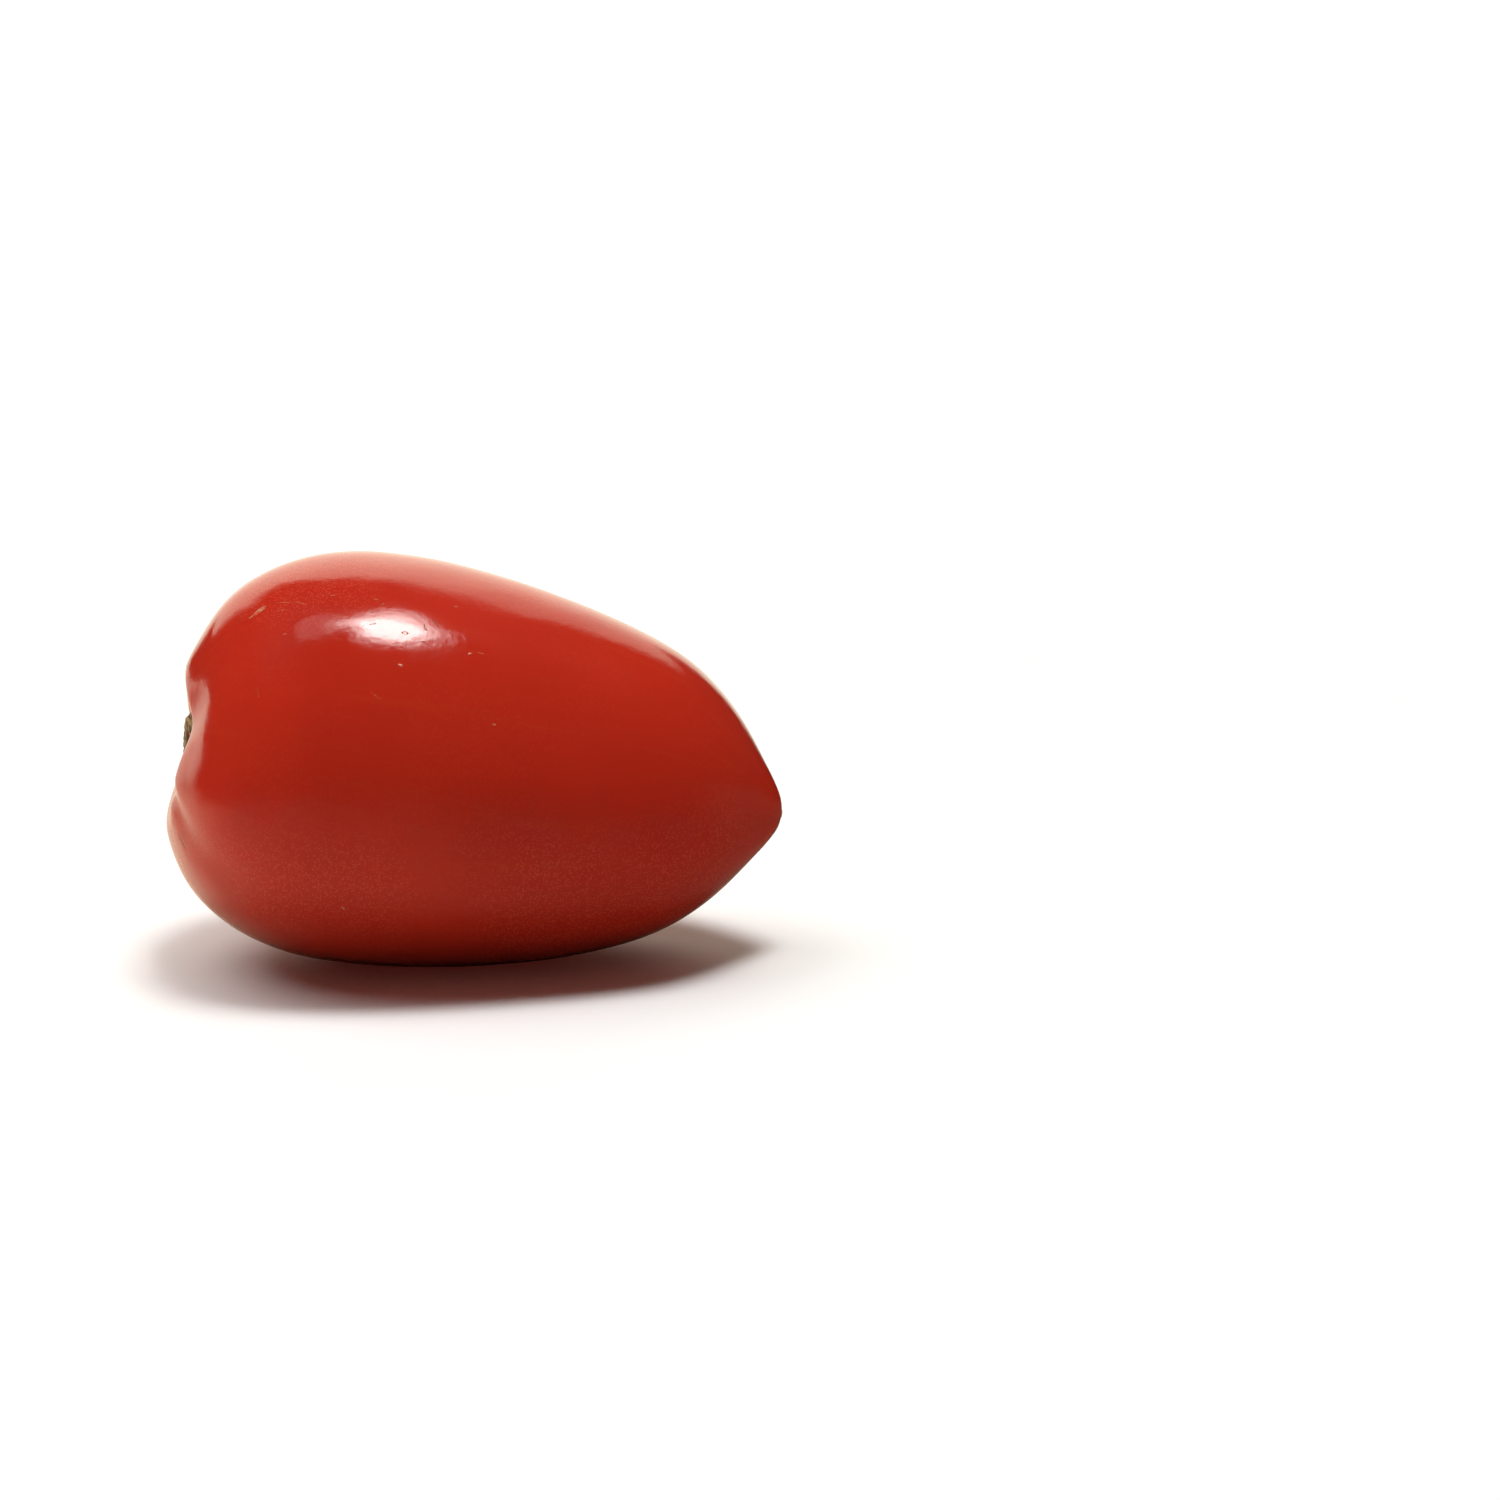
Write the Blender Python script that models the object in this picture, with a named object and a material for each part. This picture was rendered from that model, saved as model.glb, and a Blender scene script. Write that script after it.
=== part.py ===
"""A roma tomato, picked and lying on its side, as one closed solid.

The fruit starts as a plum-shaped blank, spun from a meridian that runs from the corky stem scar, over the
shoulder, along the flank and down to the small blunt tip. Swells and creases then turn its shoulder into the
uneven lobes that stand round the scar. The stem end points to -X, the tip to +X, and -Y is the front. The
fruit's own axis falls towards the tip, and the skin is pressed flat where the fruit rests.
"""

import math

import bmesh
import bpy
import numpy as np
from mathutils import Matrix, Vector

# Driving dimensions, in metres
FRUIT_LENGTH = 0.0740  # along the fruit's own axis, from the stem scar to the tip
FRUIT_RADIUS = 0.02605  # mean radius at the widest place, where the fruit is deeper than it is high
AXIS_FALL = math.radians(8.5)  # how steeply the axis falls from the stem scar to the tip
AXIS_BOW = 0.0005  # how far the axis rises above a straight line from the scar to the tip
FLAT_DEPTH = 0.0004  # how much of the underside is pressed flat

# The meridian, as shares of the length and of the radius, from the scar's centre to the tip
MERIDIAN = (
    (0.000, 0.000),
    (0.000, 0.120),
    (0.001, 0.240),
    (0.005, 0.360),
    (0.019, 0.500),
    (0.051, 0.703),
    (0.110, 0.866),
    (0.193, 0.967),
    (0.300, 1.000),
    (0.445, 0.972),
    (0.580, 0.900),
    (0.715, 0.793),
    (0.820, 0.657),
    (0.902, 0.456),
    (0.956, 0.256),
    (0.985, 0.132),
    (0.9965, 0.062),
    (1.000, 0.000),
)

# Below, angles round the axis are in degrees, from 0 at the front through 90 at the top, and distances along
# the skin are in metres, from the scar's centre

# Departures from a round section: sides, share of the radius, angle
SECTION_WAVES = ((2, 0.030, 5.0), (3, 0.010, 70.0))

# Each lobe of the shoulder: angle and distance of its crest, swell, half width in degrees
LOBES = (
    (70.0, 0.0105, 0.0014, 34.0),
    (142.0, 0.0095, 0.0010, 26.0),
    (-104.0, 0.0100, 0.0019, 44.0),
    (-28.0, 0.0078, 0.0010, 34.0),
)
LOBE_INNER_SPREAD = 0.0045  # how far along the skin a swell reaches, towards the scar and away from it
LOBE_OUTER_SPREAD = 0.0110

# Each crease between lobes: angle where it is deepest, how far the angle turns per metre from there, reach along the
# skin, depth, half width in degrees
CREASES = (
    (20.0, 1500.0, 0.009, 0.0009, 13.0),
    (-66.0, 2400.0, 0.014, 0.0007, 14.0),
    (104.0, 0.0, 0.022, 0.0008, 11.0),
    (186.0, 0.0, 0.020, 0.0013, 20.0),
)
CREASE_START = 0.0035  # distance at which a crease begins
CREASE_FULL = 0.0085  # and at which it is deepest

# The stem scar: an uneven oval of cork, a little raised, with a sunken middle and a moat round it
SCAR_RADIUS = 0.0038
SCAR_RISE = 0.0003
SCAR_PIT_DEPTH = 0.0007
MOAT_DEPTH = 0.00025
SCAR_WAVES = ((2, 0.22, 0.0), (5, 0.07, 40.0), (8, 0.04, 110.0))  # sides, share of the radius, angle
SCAR_SEAT = 0.0004  # how deep it sits between the lobes
SCAR_TILT = 0.16  # how steeply its face leans towards the angle below
SCAR_TILT_ANGLE = -60.0
SCAR_TILT_REACH = (0.0045, 0.0100)  # distances between which the skin stops leaning with it
SCAR_RIM = 0.16  # share of the scar's radius over which its edge falls
SCAR_PIT_SPREAD = 0.30  # as a share of the scar's radius, like the two below
MOAT_PLACE = 1.22
MOAT_SPREAD = 0.14

# The faceted skin: how many faces go round, and how far apart the rings are at places along the skin
SEGMENTS = 72
RING_PLACES = (0.0, 0.007, 0.016, 0.032, 0.084, 0.100)
RING_SPACING = (0.0006, 0.0008, 0.0014, 0.0024, 0.0022, 0.0009)
MERGE_DISTANCE = 1e-6

SKIN_COLOUR = (0.52, 0.022, 0.010, 1.0)
SKIN_ROUGHNESS = 0.18


def clear_scene():
    """Removes whatever the scene holds."""
    for item in list(bpy.data.objects):
        bpy.data.objects.remove(item)


class SmoothCurve:
    """A curve through given points in the plane with no sudden change of direction or of bend."""

    def __init__(self, points):
        self.points = np.array(points, float)
        steps = np.linalg.norm(np.diff(self.points, axis=0), axis=1)
        self.knots = np.concatenate([[0.0], np.cumsum(steps)])
        self.bends = self._bends(steps)

    @property
    def length(self):
        return self.knots[-1]

    def _bends(self, steps):
        """Second derivatives at the points of the natural cubic spline."""
        count = len(self.points)
        system = np.eye(count)
        wanted = np.zeros((count, 2))
        slopes = np.diff(self.points, axis=0) / steps[:, None]
        for i in range(1, count - 1):
            system[i, i - 1 : i + 2] = steps[i - 1], 2 * (steps[i - 1] + steps[i]), steps[i]
            wanted[i] = 6 * (slopes[i] - slopes[i - 1])
        return np.linalg.solve(system, wanted)

    def at(self, distance):
        """Points at these distances along the curve."""
        distance = np.asarray(distance, float)
        right = np.clip(np.searchsorted(self.knots, distance), 1, len(self.knots) - 1)
        left = right - 1
        step = (self.knots[right] - self.knots[left])[..., None]
        after = (distance - self.knots[left])[..., None] / step
        before = 1 - after
        straight = before * self.points[left] + after * self.points[right]
        bow = (before**3 - before) * self.bends[left] + (after**3 - after) * self.bends[right]
        return straight + bow * step**2 / 6

    def outward(self, distance, nudge=1e-5):
        """Unit normals at these distances, pointing out of the fruit."""
        ahead = self.at(np.minimum(distance + nudge, self.length))
        behind = self.at(np.maximum(distance - nudge, 0.0))
        run = ahead - behind
        normal = np.stack([-run[..., 1], run[..., 0]], axis=-1)
        return normal / np.linalg.norm(normal, axis=-1, keepdims=True)


def meridian_curve():
    """The fruit's meridian: distance along the axis, and radius."""
    return SmoothCurve([(FRUIT_LENGTH * along, FRUIT_RADIUS * out) for along, out in MERIDIAN])


def smooth_step(value, low, high):
    """0 below low, 1 above high, and an even rise between."""
    share = np.clip((value - low) / (high - low), 0.0, 1.0)
    return share * share * (3 - 2 * share)


def bell(value, spread):
    """1 where value is 0, falling evenly on both sides over the spread."""
    return np.exp(-((value / spread) ** 2))


def turn_from(angle, centre):
    """The signed turn from centre to angle, in degrees, between -180 and 180."""
    return (angle - centre + 180.0) % 360.0 - 180.0


def waves(angle, table):
    """The sum of some waves round the axis, each with its number of crests, height and crest's angle."""
    return sum(height * np.cos(np.radians(count * (angle - crest))) for count, height, crest in table)


def lobe_swell(distance, angle):
    """How far the shoulder's lobes push the skin out."""
    swell = np.zeros_like(distance)
    for crest_angle, crest_distance, height, width in LOBES:
        spread = np.where(distance < crest_distance, LOBE_INNER_SPREAD, LOBE_OUTER_SPREAD)
        swell += height * bell(distance - crest_distance, spread) * bell(turn_from(angle, crest_angle), width)
    return swell


def crease_depth(distance, angle):
    """How far the creases between the lobes draw the skin in."""
    start = smooth_step(distance, CREASE_START, CREASE_FULL)
    depth = np.zeros_like(distance)
    past = np.maximum(distance - CREASE_FULL, 0.0)
    for crease_angle, lean, reach, deepest, width in CREASES:
        aside = turn_from(angle, crease_angle + lean * past)
        depth += deepest * start * bell(past, reach) * bell(aside, width)
    return depth


def scar_relief(distance, angle):
    """Height of the corky scar and its moat above the skin."""
    place = distance / (SCAR_RADIUS * (1 + waves(angle, SCAR_WAVES)))
    plateau = SCAR_RISE * (1 - smooth_step(place, 1 - SCAR_RIM, 1 + SCAR_RIM))
    pit = SCAR_PIT_DEPTH * bell(place, SCAR_PIT_SPREAD)
    moat = MOAT_DEPTH * bell(place - MOAT_PLACE, MOAT_SPREAD)
    lean = SCAR_SEAT + SCAR_TILT * distance * np.cos(np.radians(angle - SCAR_TILT_ANGLE))
    lean = lean * (1 - smooth_step(distance, *SCAR_TILT_REACH))
    return plateau - pit - moat - lean


def skin_points(distance, angle):
    """Points of the skin in the fruit's own frame, X along its axis and Z up, at these places on it."""
    meridian = meridian_curve()
    lift = lobe_swell(distance, angle) - crease_depth(distance, angle) + scar_relief(distance, angle)
    along, out = (meridian.at(distance) + lift[:, None] * meridian.outward(distance)).T
    out = out * (1 + waves(angle, SECTION_WAVES))
    from_middle = 2 * np.clip(along / FRUIT_LENGTH, 0.0, 1.0) - 1
    rise = AXIS_BOW * (1 - from_middle**8)
    turn = np.radians(angle)
    return np.column_stack([along, -out * np.cos(turn), out * np.sin(turn) + rise])


def ring_distances():
    """Distances along the skin of the blank's rings, closer together where the skin bends more."""
    fine = np.linspace(0.0, meridian_curve().length, 2000)
    rings_per_metre = 1 / np.interp(fine, RING_PLACES, RING_SPACING)
    counted = np.concatenate([[0.0], np.cumsum(rings_per_metre[1:] * np.diff(fine))])
    return np.interp(np.linspace(0.0, counted[-1], round(counted[-1]) + 1), counted, fine)


def spun_blank(distances, steps):
    """The plain body of revolution. Each vertex keeps its distance along the skin in a layer."""
    blank = bmesh.new()
    kept_distance = blank.verts.layers.float.new("distance")
    chain = []
    for distance, (along, out) in zip(distances, meridian_curve().at(distances)):
        vertex = blank.verts.new((along, -out, 0.0))
        vertex[kept_distance] = distance
        chain.append(vertex)
    edges = [blank.edges.new(pair) for pair in zip(chain, chain[1:])]
    bmesh.ops.spin(
        blank,
        geom=chain + edges,
        cent=(0, 0, 0),
        axis=(-1, 0, 0),
        angle=math.tau,
        steps=steps,
        use_merge=True,
    )
    bmesh.ops.remove_doubles(blank, verts=blank.verts, dist=MERGE_DISTANCE)
    return blank


def shape_skin(fruit):
    """Moves the blank's vertices to where the lobed skin has them."""
    kept_distance = fruit.verts.layers.float["distance"]
    distance = np.array([vertex[kept_distance] for vertex in fruit.verts])
    angle = np.degrees([math.atan2(vertex.co.z, -vertex.co.y) for vertex in fruit.verts])
    for vertex, place in zip(fruit.verts, skin_points(distance, angle)):
        vertex.co = place


def lay_down(fruit):
    """Tips the fruit so that its axis falls towards the tip, and presses its lowest skin flat."""
    bmesh.ops.rotate(fruit, verts=fruit.verts, cent=(0, 0, 0), matrix=Matrix.Rotation(AXIS_FALL, 3, "Y"))
    ground = min(vertex.co.z for vertex in fruit.verts) + FLAT_DEPTH
    cut = bmesh.ops.bisect_plane(
        fruit,
        geom=fruit.verts[:] + fruit.edges[:] + fruit.faces[:],
        dist=MERGE_DISTANCE,
        plane_co=(0, 0, ground),
        plane_no=(0, 0, -1),
        clear_outer=True,
    )
    rim = [item for item in cut["geom_cut"] if isinstance(item, bmesh.types.BMEdge)]
    bmesh.ops.contextual_create(fruit, geom=rim)
    bmesh.ops.recalc_face_normals(fruit, faces=fruit.faces)
    middle = [(min(side) + max(side)) / 2 for side in zip(*(vertex.co.xy for vertex in fruit.verts))]
    bmesh.ops.translate(fruit, verts=fruit.verts, vec=-Vector((*middle, ground)))


def skin_material():
    """Ripe red, glossy skin."""
    material = bpy.data.materials.new("ripe_red_skin")
    material.use_nodes = True
    shader = material.node_tree.nodes["Principled BSDF"]
    shader.inputs["Base Color"].default_value = SKIN_COLOUR
    shader.inputs["Roughness"].default_value = SKIN_ROUGHNESS
    shader.inputs["Metallic"].default_value = 0.0
    return material


def build_tomato():
    """The whole fruit. Its skin, flesh and scar grew as one piece, so it is one solid."""
    fruit = spun_blank(ring_distances(), SEGMENTS)
    shape_skin(fruit)
    lay_down(fruit)
    mesh = bpy.data.meshes.new("tomato")
    fruit.to_mesh(mesh)
    fruit.free()
    mesh.materials.append(skin_material())
    mesh.shade_smooth()
    tomato = bpy.data.objects.new("tomato", mesh)
    bpy.context.scene.collection.objects.link(tomato)
    return tomato


def main():
    clear_scene()
    build_tomato()


main()
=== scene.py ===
"""Dresses the roma tomato: its waxy red skin, the cork of its stem scar and the dot of cork at its tip.
The fruit lies on a white table under a soft overhead light, in front of a bright backdrop. Lengths are in
metres."""

import math

import bpy
import numpy as np
from bpy.props import FloatProperty, FloatVectorProperty, IntProperty, PointerProperty
from bpy.types import Operator, Panel, PropertyGroup
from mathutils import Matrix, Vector


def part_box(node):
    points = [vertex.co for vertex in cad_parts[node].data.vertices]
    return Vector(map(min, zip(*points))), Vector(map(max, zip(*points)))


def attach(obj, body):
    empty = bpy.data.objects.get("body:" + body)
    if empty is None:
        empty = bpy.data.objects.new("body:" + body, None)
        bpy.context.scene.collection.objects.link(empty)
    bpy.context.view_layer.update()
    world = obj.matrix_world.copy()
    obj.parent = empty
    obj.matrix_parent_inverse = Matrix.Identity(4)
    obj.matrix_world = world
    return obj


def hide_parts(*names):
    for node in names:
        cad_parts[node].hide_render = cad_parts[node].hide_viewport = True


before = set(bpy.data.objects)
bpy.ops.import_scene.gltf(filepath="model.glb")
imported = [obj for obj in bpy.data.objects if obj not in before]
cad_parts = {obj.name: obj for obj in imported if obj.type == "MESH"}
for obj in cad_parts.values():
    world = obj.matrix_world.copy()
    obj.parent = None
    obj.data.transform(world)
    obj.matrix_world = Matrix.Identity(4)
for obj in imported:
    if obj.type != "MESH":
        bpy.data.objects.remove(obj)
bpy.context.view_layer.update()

bl_info = {
    "name": "Roma Tomato",
    "version": (1, 0, 0),
    "blender": (4, 5, 0),
    "location": "View3D > Sidebar > Tomato",
    "description": "Dresses a roma tomato with skin and cork, and sets it in a small studio",
    "category": "Object",
}

BODY = "root"
SOLID = "tomato"

# The name under which each vertex keeps its place: cosine and sine of the angle round the axis, and distance
# along the skin. The cork keeps its share of the way to its rim instead of the distance.
PLACE = "place_on_skin"

# The meridian, as shares of the fruit's length and radius, from the scar's centre to the tip
MERIDIAN = (
    (0.000, 0.000),
    (0.000, 0.120),
    (0.001, 0.240),
    (0.005, 0.360),
    (0.019, 0.500),
    (0.051, 0.703),
    (0.110, 0.866),
    (0.193, 0.967),
    (0.300, 1.000),
    (0.445, 0.972),
    (0.580, 0.900),
    (0.715, 0.793),
    (0.820, 0.657),
    (0.902, 0.456),
    (0.956, 0.256),
    (0.985, 0.132),
    (0.9965, 0.062),
    (1.000, 0.000),
)

# Below, angles round the axis are in degrees, from 0 at the front through 90 at the top, and distances along
# the skin are in metres, from the scar's centre

# Departures from a round section: sides, share of the radius, angle
SECTION_WAVES = ((2, 0.030, 5.0), (3, 0.010, 70.0))

# Each lobe of the shoulder: angle and distance of its crest, swell, half width in degrees
LOBES = (
    (70.0, 0.0105, 0.0014, 34.0),
    (142.0, 0.0095, 0.0010, 26.0),
    (-103.0, 0.0120, 0.0020, 47.0),
    (-28.0, 0.0078, 0.0010, 34.0),
)
LOBE_INNER_SPREAD = 0.0045  # how far along the skin a swell reaches, towards the scar and away from it
LOBE_OUTER_SPREAD = 0.0110

# Each crease between lobes: angle where it is deepest, how far the angle turns per metre from there, reach
# along the skin, depth, half width in degrees
CREASES = (
    (20.0, 1500.0, 0.009, 0.0007, 17.0),
    (-32.0, 0.0, 0.018, 0.0006, 9.0),
    (104.0, 0.0, 0.022, 0.0008, 11.0),
    (186.0, 0.0, 0.020, 0.0013, 20.0),
)
CREASE_START = 0.0035  # distance at which a crease begins
CREASE_FULL = 0.0085  # and at which it is deepest

BOW_POWER = 8  # the higher it is, the longer the middle of the axis stays straight
BOX_RINGS = 400  # rings that are looked at to find the fruit's box
BOX_STEP = 2.5  # and degrees from one point of a ring to the next

# The stem scar's outline: sides, share of its radius, angle
SCAR_WAVES = ((2, 0.22, 0.0), (5, 0.07, 40.0), (8, 0.04, 110.0))
SCAR_SEAT = 0.0008  # how deep it sits between the lobes
SCAR_TILT = 0.16  # how steeply its face leans towards the angle below
SCAR_TILT_ANGLE = 20.0
SCAR_TILT_REACH = (0.0045, 0.0100)  # distances between which the skin stops leaning with it
SCAR_RIM = 0.16  # share of the scar's radius over which its edge falls
SCAR_PIT_SPREAD = 0.30  # as a share of the scar's radius, like the two below
MOAT_PLACE = 1.22
MOAT_SPREAD = 0.14

# The fine skin's rings: how far apart they are at places along the skin
RING_PLACES = (0.0, 0.012, 0.030, 0.090, 0.100)
RING_SPACING = (0.00020, 0.00026, 0.00042, 0.00042, 0.00024)
RING_COUNTING_STEPS = 4000

# The skin's soft swells: wavelength and share of the whole height, for some waves each
SWELLS = ((0.030, 1.0), (0.021, 0.8), (0.014, 0.45), (0.009, 0.22), (0.006, 0.10))
WAVES_PER_SWELL = 5
SWELL_SEED = 11

# The plates of cork: their top's rings, the places of those underneath, and the seed of the ragged outline
CORK_TOP_RINGS = 40
CORK_UNDER_SHARES = (0.97, 0.6)
CORK_SEED = 5

# The stem scar's cork. Places and spreads are shares of its radius
STEM_CORK = (144, 0.0006)  # segments, and how far it reaches under the skin
RIM_HEIGHT = 0.00016
RIM_PLACE = 0.84
RIM_SPREAD = 0.12
RIM_LUMPS = 0.20  # how uneven it is, as a share of its height
FIBRE_HEIGHT = 0.00003
FLOOR_HEIGHT = 0.00008
CORK_LIFT = 0.00006  # how far the whole top stands off the skin
CORK_PIT_DEPTH = 0.00035
CORK_PIT_SPREAD = 0.22

# The tip's dot of cork, and its outline: sides, share of its radius, angle
TIP_CORK = (48, 0.0003)
TIP_WAVES = ((3, 0.12, 20.0), (7, 0.06, 75.0))
TIP_BUMP_HEIGHT = 0.00009
TIP_DENT_DEPTH = 0.00006
TIP_DENT_SPREAD = 0.3

# The skin's look
FLUSH_REACH = (0.0075, 0.0045)  # distances between which the orange beside the stem scar comes in
# The golden speckles are partly the skin's own and partly painted glints, so they grow dense where the skin
# shows reflections
SPECKLE_AND_GLINT_LOW = (0.026, 0.016)  # heights between which the golden speckles grow dense low down
SPECKLE_AND_GLINT_HIGH = (0.043, 0.047)  # and near the top
SPECKLE_SCALE = 3600.0  # golden speckles to the metre
FLECK_SCALE = 230.0  # and pale flecks
SKIN_BUMP_HEIGHT = 0.00010
CORK_BUMP_HEIGHT = 0.00015

# The overhead light, brighter towards its middle and with a wing over the stem end. Each part's x, y, width,
# depth, turn in degrees and brightness
OVERHEAD_PARTS = (
    (0.118, -0.030, 0.32, 0.38, -31.0, 2.8),
    (0.121, -0.035, 0.24, 0.31, -31.0, 7.0),
    (0.118, -0.042, 0.165, 0.235, -31.0, 16.0),
    (0.165, 0.140, 0.11, 0.12, 0.0, 5.0),
    (0.050, -0.175, 0.18, 0.12, 0.0, 1.8),
    (-0.060, -0.030, 0.27, 0.14, 0.0, 2.2),
    (-0.030, -0.025, 0.18, 0.10, 0.0, 6.0),
    (-0.200, -0.020, 0.40, 0.22, 0.0, 1.2),
)

# The two fills, which soften the shadow and have no reflection: x, y, brightness
FILL_PARTS = (
    (-0.62, 0.06, 2.1),
    (-0.50, 0.10, 1.2),
)

# Each part hangs this far above the one before, because a reflection shows only one light of each plane
PART_STEP = 0.002
FILL_RISE = 0.020  # how far above the overhead light the fills hang
LAMP_COLOUR = (1.0, 0.99, 0.96)

# The colours of what the skin reflects: the backdrop, and the table near the fruit
WARM_BACKDROP = (1.0, 0.98, 0.78, 1.0)
WARM_TABLE = (1.0, 0.80, 0.62, 1.0)

# The colours of what the camera sees: the table near the fruit, a painted red glow for the light that the
# fruit's flesh passes on to it, and the table and room further off
COOL_TABLE = (0.97, 1.0, 1.02, 1.0)
PAINTED_RED_GLOW = (1.0, 0.12, 0.08, 1.0)
WHITE = (1.0, 1.0, 1.0, 1.0)

# The backdrop: two headings or heights, and the values there. Headings are in radians from straight behind,
# positive to the right, and heights run from 0 at the horizon to 1 overhead
BACKDROP_TOP = (-0.40, -0.14, 0.57, 0.755)  # height of its top, by heading
BACKDROP_RIGHT = (0.28, 0.42, 0.38, 0.58)  # heading of its right edge, by height
BACKDROP_LEFT = (0.10, 0.22, -0.42, -0.70)  # and of its left edge
BACKDROP_RISE = (0.0, 0.7, 1.0, 1.25)  # its brightness, by height
BACKDROP_FADE = (0.20, 0.45, 1.0, 0.70)  # and by heading
BACKDROP_EDGE = 0.06  # half the width of its soft edges
CEILING_START = (0.70, 0.80)  # heights between which the ceiling begins
CEILING_BEHIND = (-0.1, 0.1)  # and how far behind the fruit

# Where the table begins to glow, for the light that it passes on, the camera and the fruit's gloss
GLOW_PASSED_ON = (0.10, 0.16)
GLOW_SEEN = (0.15, 0.45)
GLOW_REFLECTED = (0.060, 0.200)

# The table in the fruit's gloss
GLOSS_SHADE = 0.85
GLOSS_FADE = 0.055  # how fast it dims towards the front
GLOSS_RIGHT = (0.070, -0.060, 0.10, 1.0)  # two places at the right, and how bright it is there
GLOSS_LEFT = (-0.210, -0.100)  # places between which it begins at the left
GLOSS_SLANT = 0.8  # how steeply that edge leans, from the place below on
GLOSS_SLANT_START = 0.05
GLOSS_GLOW_LEFT = (-1.08, -0.82)  # headings between which its glow begins
GLOSS_GLOW_RIGHT = (0.50, 0.35)  # and ends

# The table's shade for the light that it passes on: two places, and the values there
PASSED_ON_SHADE = (0.030, 0.048, 0.35, 0.95)
PASSED_ON_STEM_END = (-0.03, -0.09, 1.0, 1.8)  # how much brighter it is towards the stem end

BESIDE_STRETCH = (0.6, 1.0, 1.0)  # turns the fruit's long footprint into a round one
# The painted red glow on the table near the fruit: distances between which it comes in, and its strength
PAINTED_RED_GLOW_REACH = (0.075, 0.030)  # distances between which the blush comes in
PAINTED_RED_GLOW_STRENGTH = 0.035
SEEN_GLOW = 1.2  # brightness of the table and room further off, for the camera
PASSED_ON_GLOW = 0.58  # and of the table further off, for the light that it sends to the fruit
REFLECTED_GLOW = 1.15  # and in the fruit's gloss
TABLE_DROP = 0.00005  # how far the table top lies below the flat spot, so that they don't share a plane
SENSOR_WIDTH = 36.0  # the camera's, in millimetres
SEEN_RANGE = (0.01, 50.0)  # the nearest and furthest that the camera sees

# Healed scuffs and scratches: distance and angle of one end and of the other, half width, strength
SCUFFS = (
    (0.0233, 56.8, 0.0245, 58.4, 0.00038, 0.80),
    (0.0226, 56.0, 0.0231, 56.5, 0.00020, 0.45),
    (0.0263, 58.6, 0.0280, 57.2, 0.00012, 0.22),
    (0.0282, 57.6, 0.0299, 55.4, 0.00012, 0.25),
    (0.0262, 55.0, 0.0274, 54.6, 0.00010, 0.18),
    (0.0326, 58.5, 0.0332, 58.8, 0.00010, 0.35),
    (0.0376, 58.0, 0.0384, 57.6, 0.00010, 0.30),
    (0.0398, 75.4, 0.0412, 73.4, 0.00010, 0.28),
    (0.0385, 28.8, 0.0399, 27.0, 0.00010, 0.22),
    (0.0248, 28.6, 0.0252, 25.4, 0.00011, 0.25),
    (0.0415, 37.0, 0.0419, 37.0, 0.00016, 0.55),
    (0.0474, 60.5, 0.0477, 60.5, 0.00012, 0.35),
    (0.0496, 44.0, 0.0499, 44.4, 0.00011, 0.40),
    (0.0505, 45.2, 0.0514, 45.0, 0.00010, 0.35),
    (0.0533, 25.0, 0.0536, 25.0, 0.00015, 0.50),
    (0.0273, 45.5, 0.0277, 45.5, 0.00012, 0.35),
    (0.0386, -30.8, 0.0389, -31.4, 0.00014, 0.70),
)

# Pinpricks in the skin: as the scuffs, with the depth as a share of the deepest
PINPRICKS = (
    (0.0374, 53.2, 0.0377, 52.8, 0.00018, 0.7),
    (0.0376, 48.3, 0.0382, 48.9, 0.00011, 1.0),
    (0.0416, 47.0, 0.0420, 47.0, 0.00022, 0.9),
    (0.0440, 50.8, 0.0442, 49.2, 0.00016, 1.0),
    (0.0440, 45.0, 0.0443, 45.0, 0.00016, 0.7),
    (0.0449, 53.5, 0.0457, 51.5, 0.00012, 0.8),
    (0.0386, 56.0, 0.0388, 56.0, 0.00014, 0.7),
    (0.0139, -43.4, 0.0163, -41.8, 0.00030, 1.0),
)


class TomatoSizes(PropertyGroup):
    """The fruit's own sizes"""

    fruit_length: FloatProperty(
        name="Fruit length", description="From the stem scar to the tip", default=0.0740, unit="LENGTH"
    )
    fruit_radius: FloatProperty(
        name="Fruit radius", description="Mean radius at the widest place", default=0.02605, unit="LENGTH"
    )
    axis_fall: FloatProperty(
        name="Axis fall",
        description="How steeply the fruit's axis falls towards the tip",
        default=math.radians(8.5),
        subtype="ANGLE",
    )
    axis_bow: FloatProperty(
        name="Axis bow", description="How far the axis rises between its ends", default=0.0005, unit="LENGTH"
    )
    flat_depth: FloatProperty(
        name="Flat depth", description="How far the underside is pressed in", default=0.0004, unit="LENGTH"
    )
    scar_radius: FloatProperty(
        name="Scar radius", description="Mean radius of the stem scar", default=0.0038, unit="LENGTH"
    )
    scar_rise: FloatProperty(
        name="Scar rise", description="How far the scar stands up", default=0.0003, unit="LENGTH"
    )
    scar_pit_depth: FloatProperty(
        name="Scar pit", description="Depth of the scar's middle", default=0.0007, unit="LENGTH"
    )
    moat_depth: FloatProperty(
        name="Moat depth", description="Depth of the dip round the scar", default=0.00025, unit="LENGTH"
    )
    tip_scar_radius: FloatProperty(
        name="Tip scar radius", description="Radius of the tip's dot of cork", default=0.0007, unit="LENGTH"
    )
    unevenness: FloatProperty(
        name="Unevenness", description="Height of the skin's soft swells", default=0.00006, unit="LENGTH"
    )
    segments: IntProperty(name="Segments", description="Faces round the skin", default=288, min=24)


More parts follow.
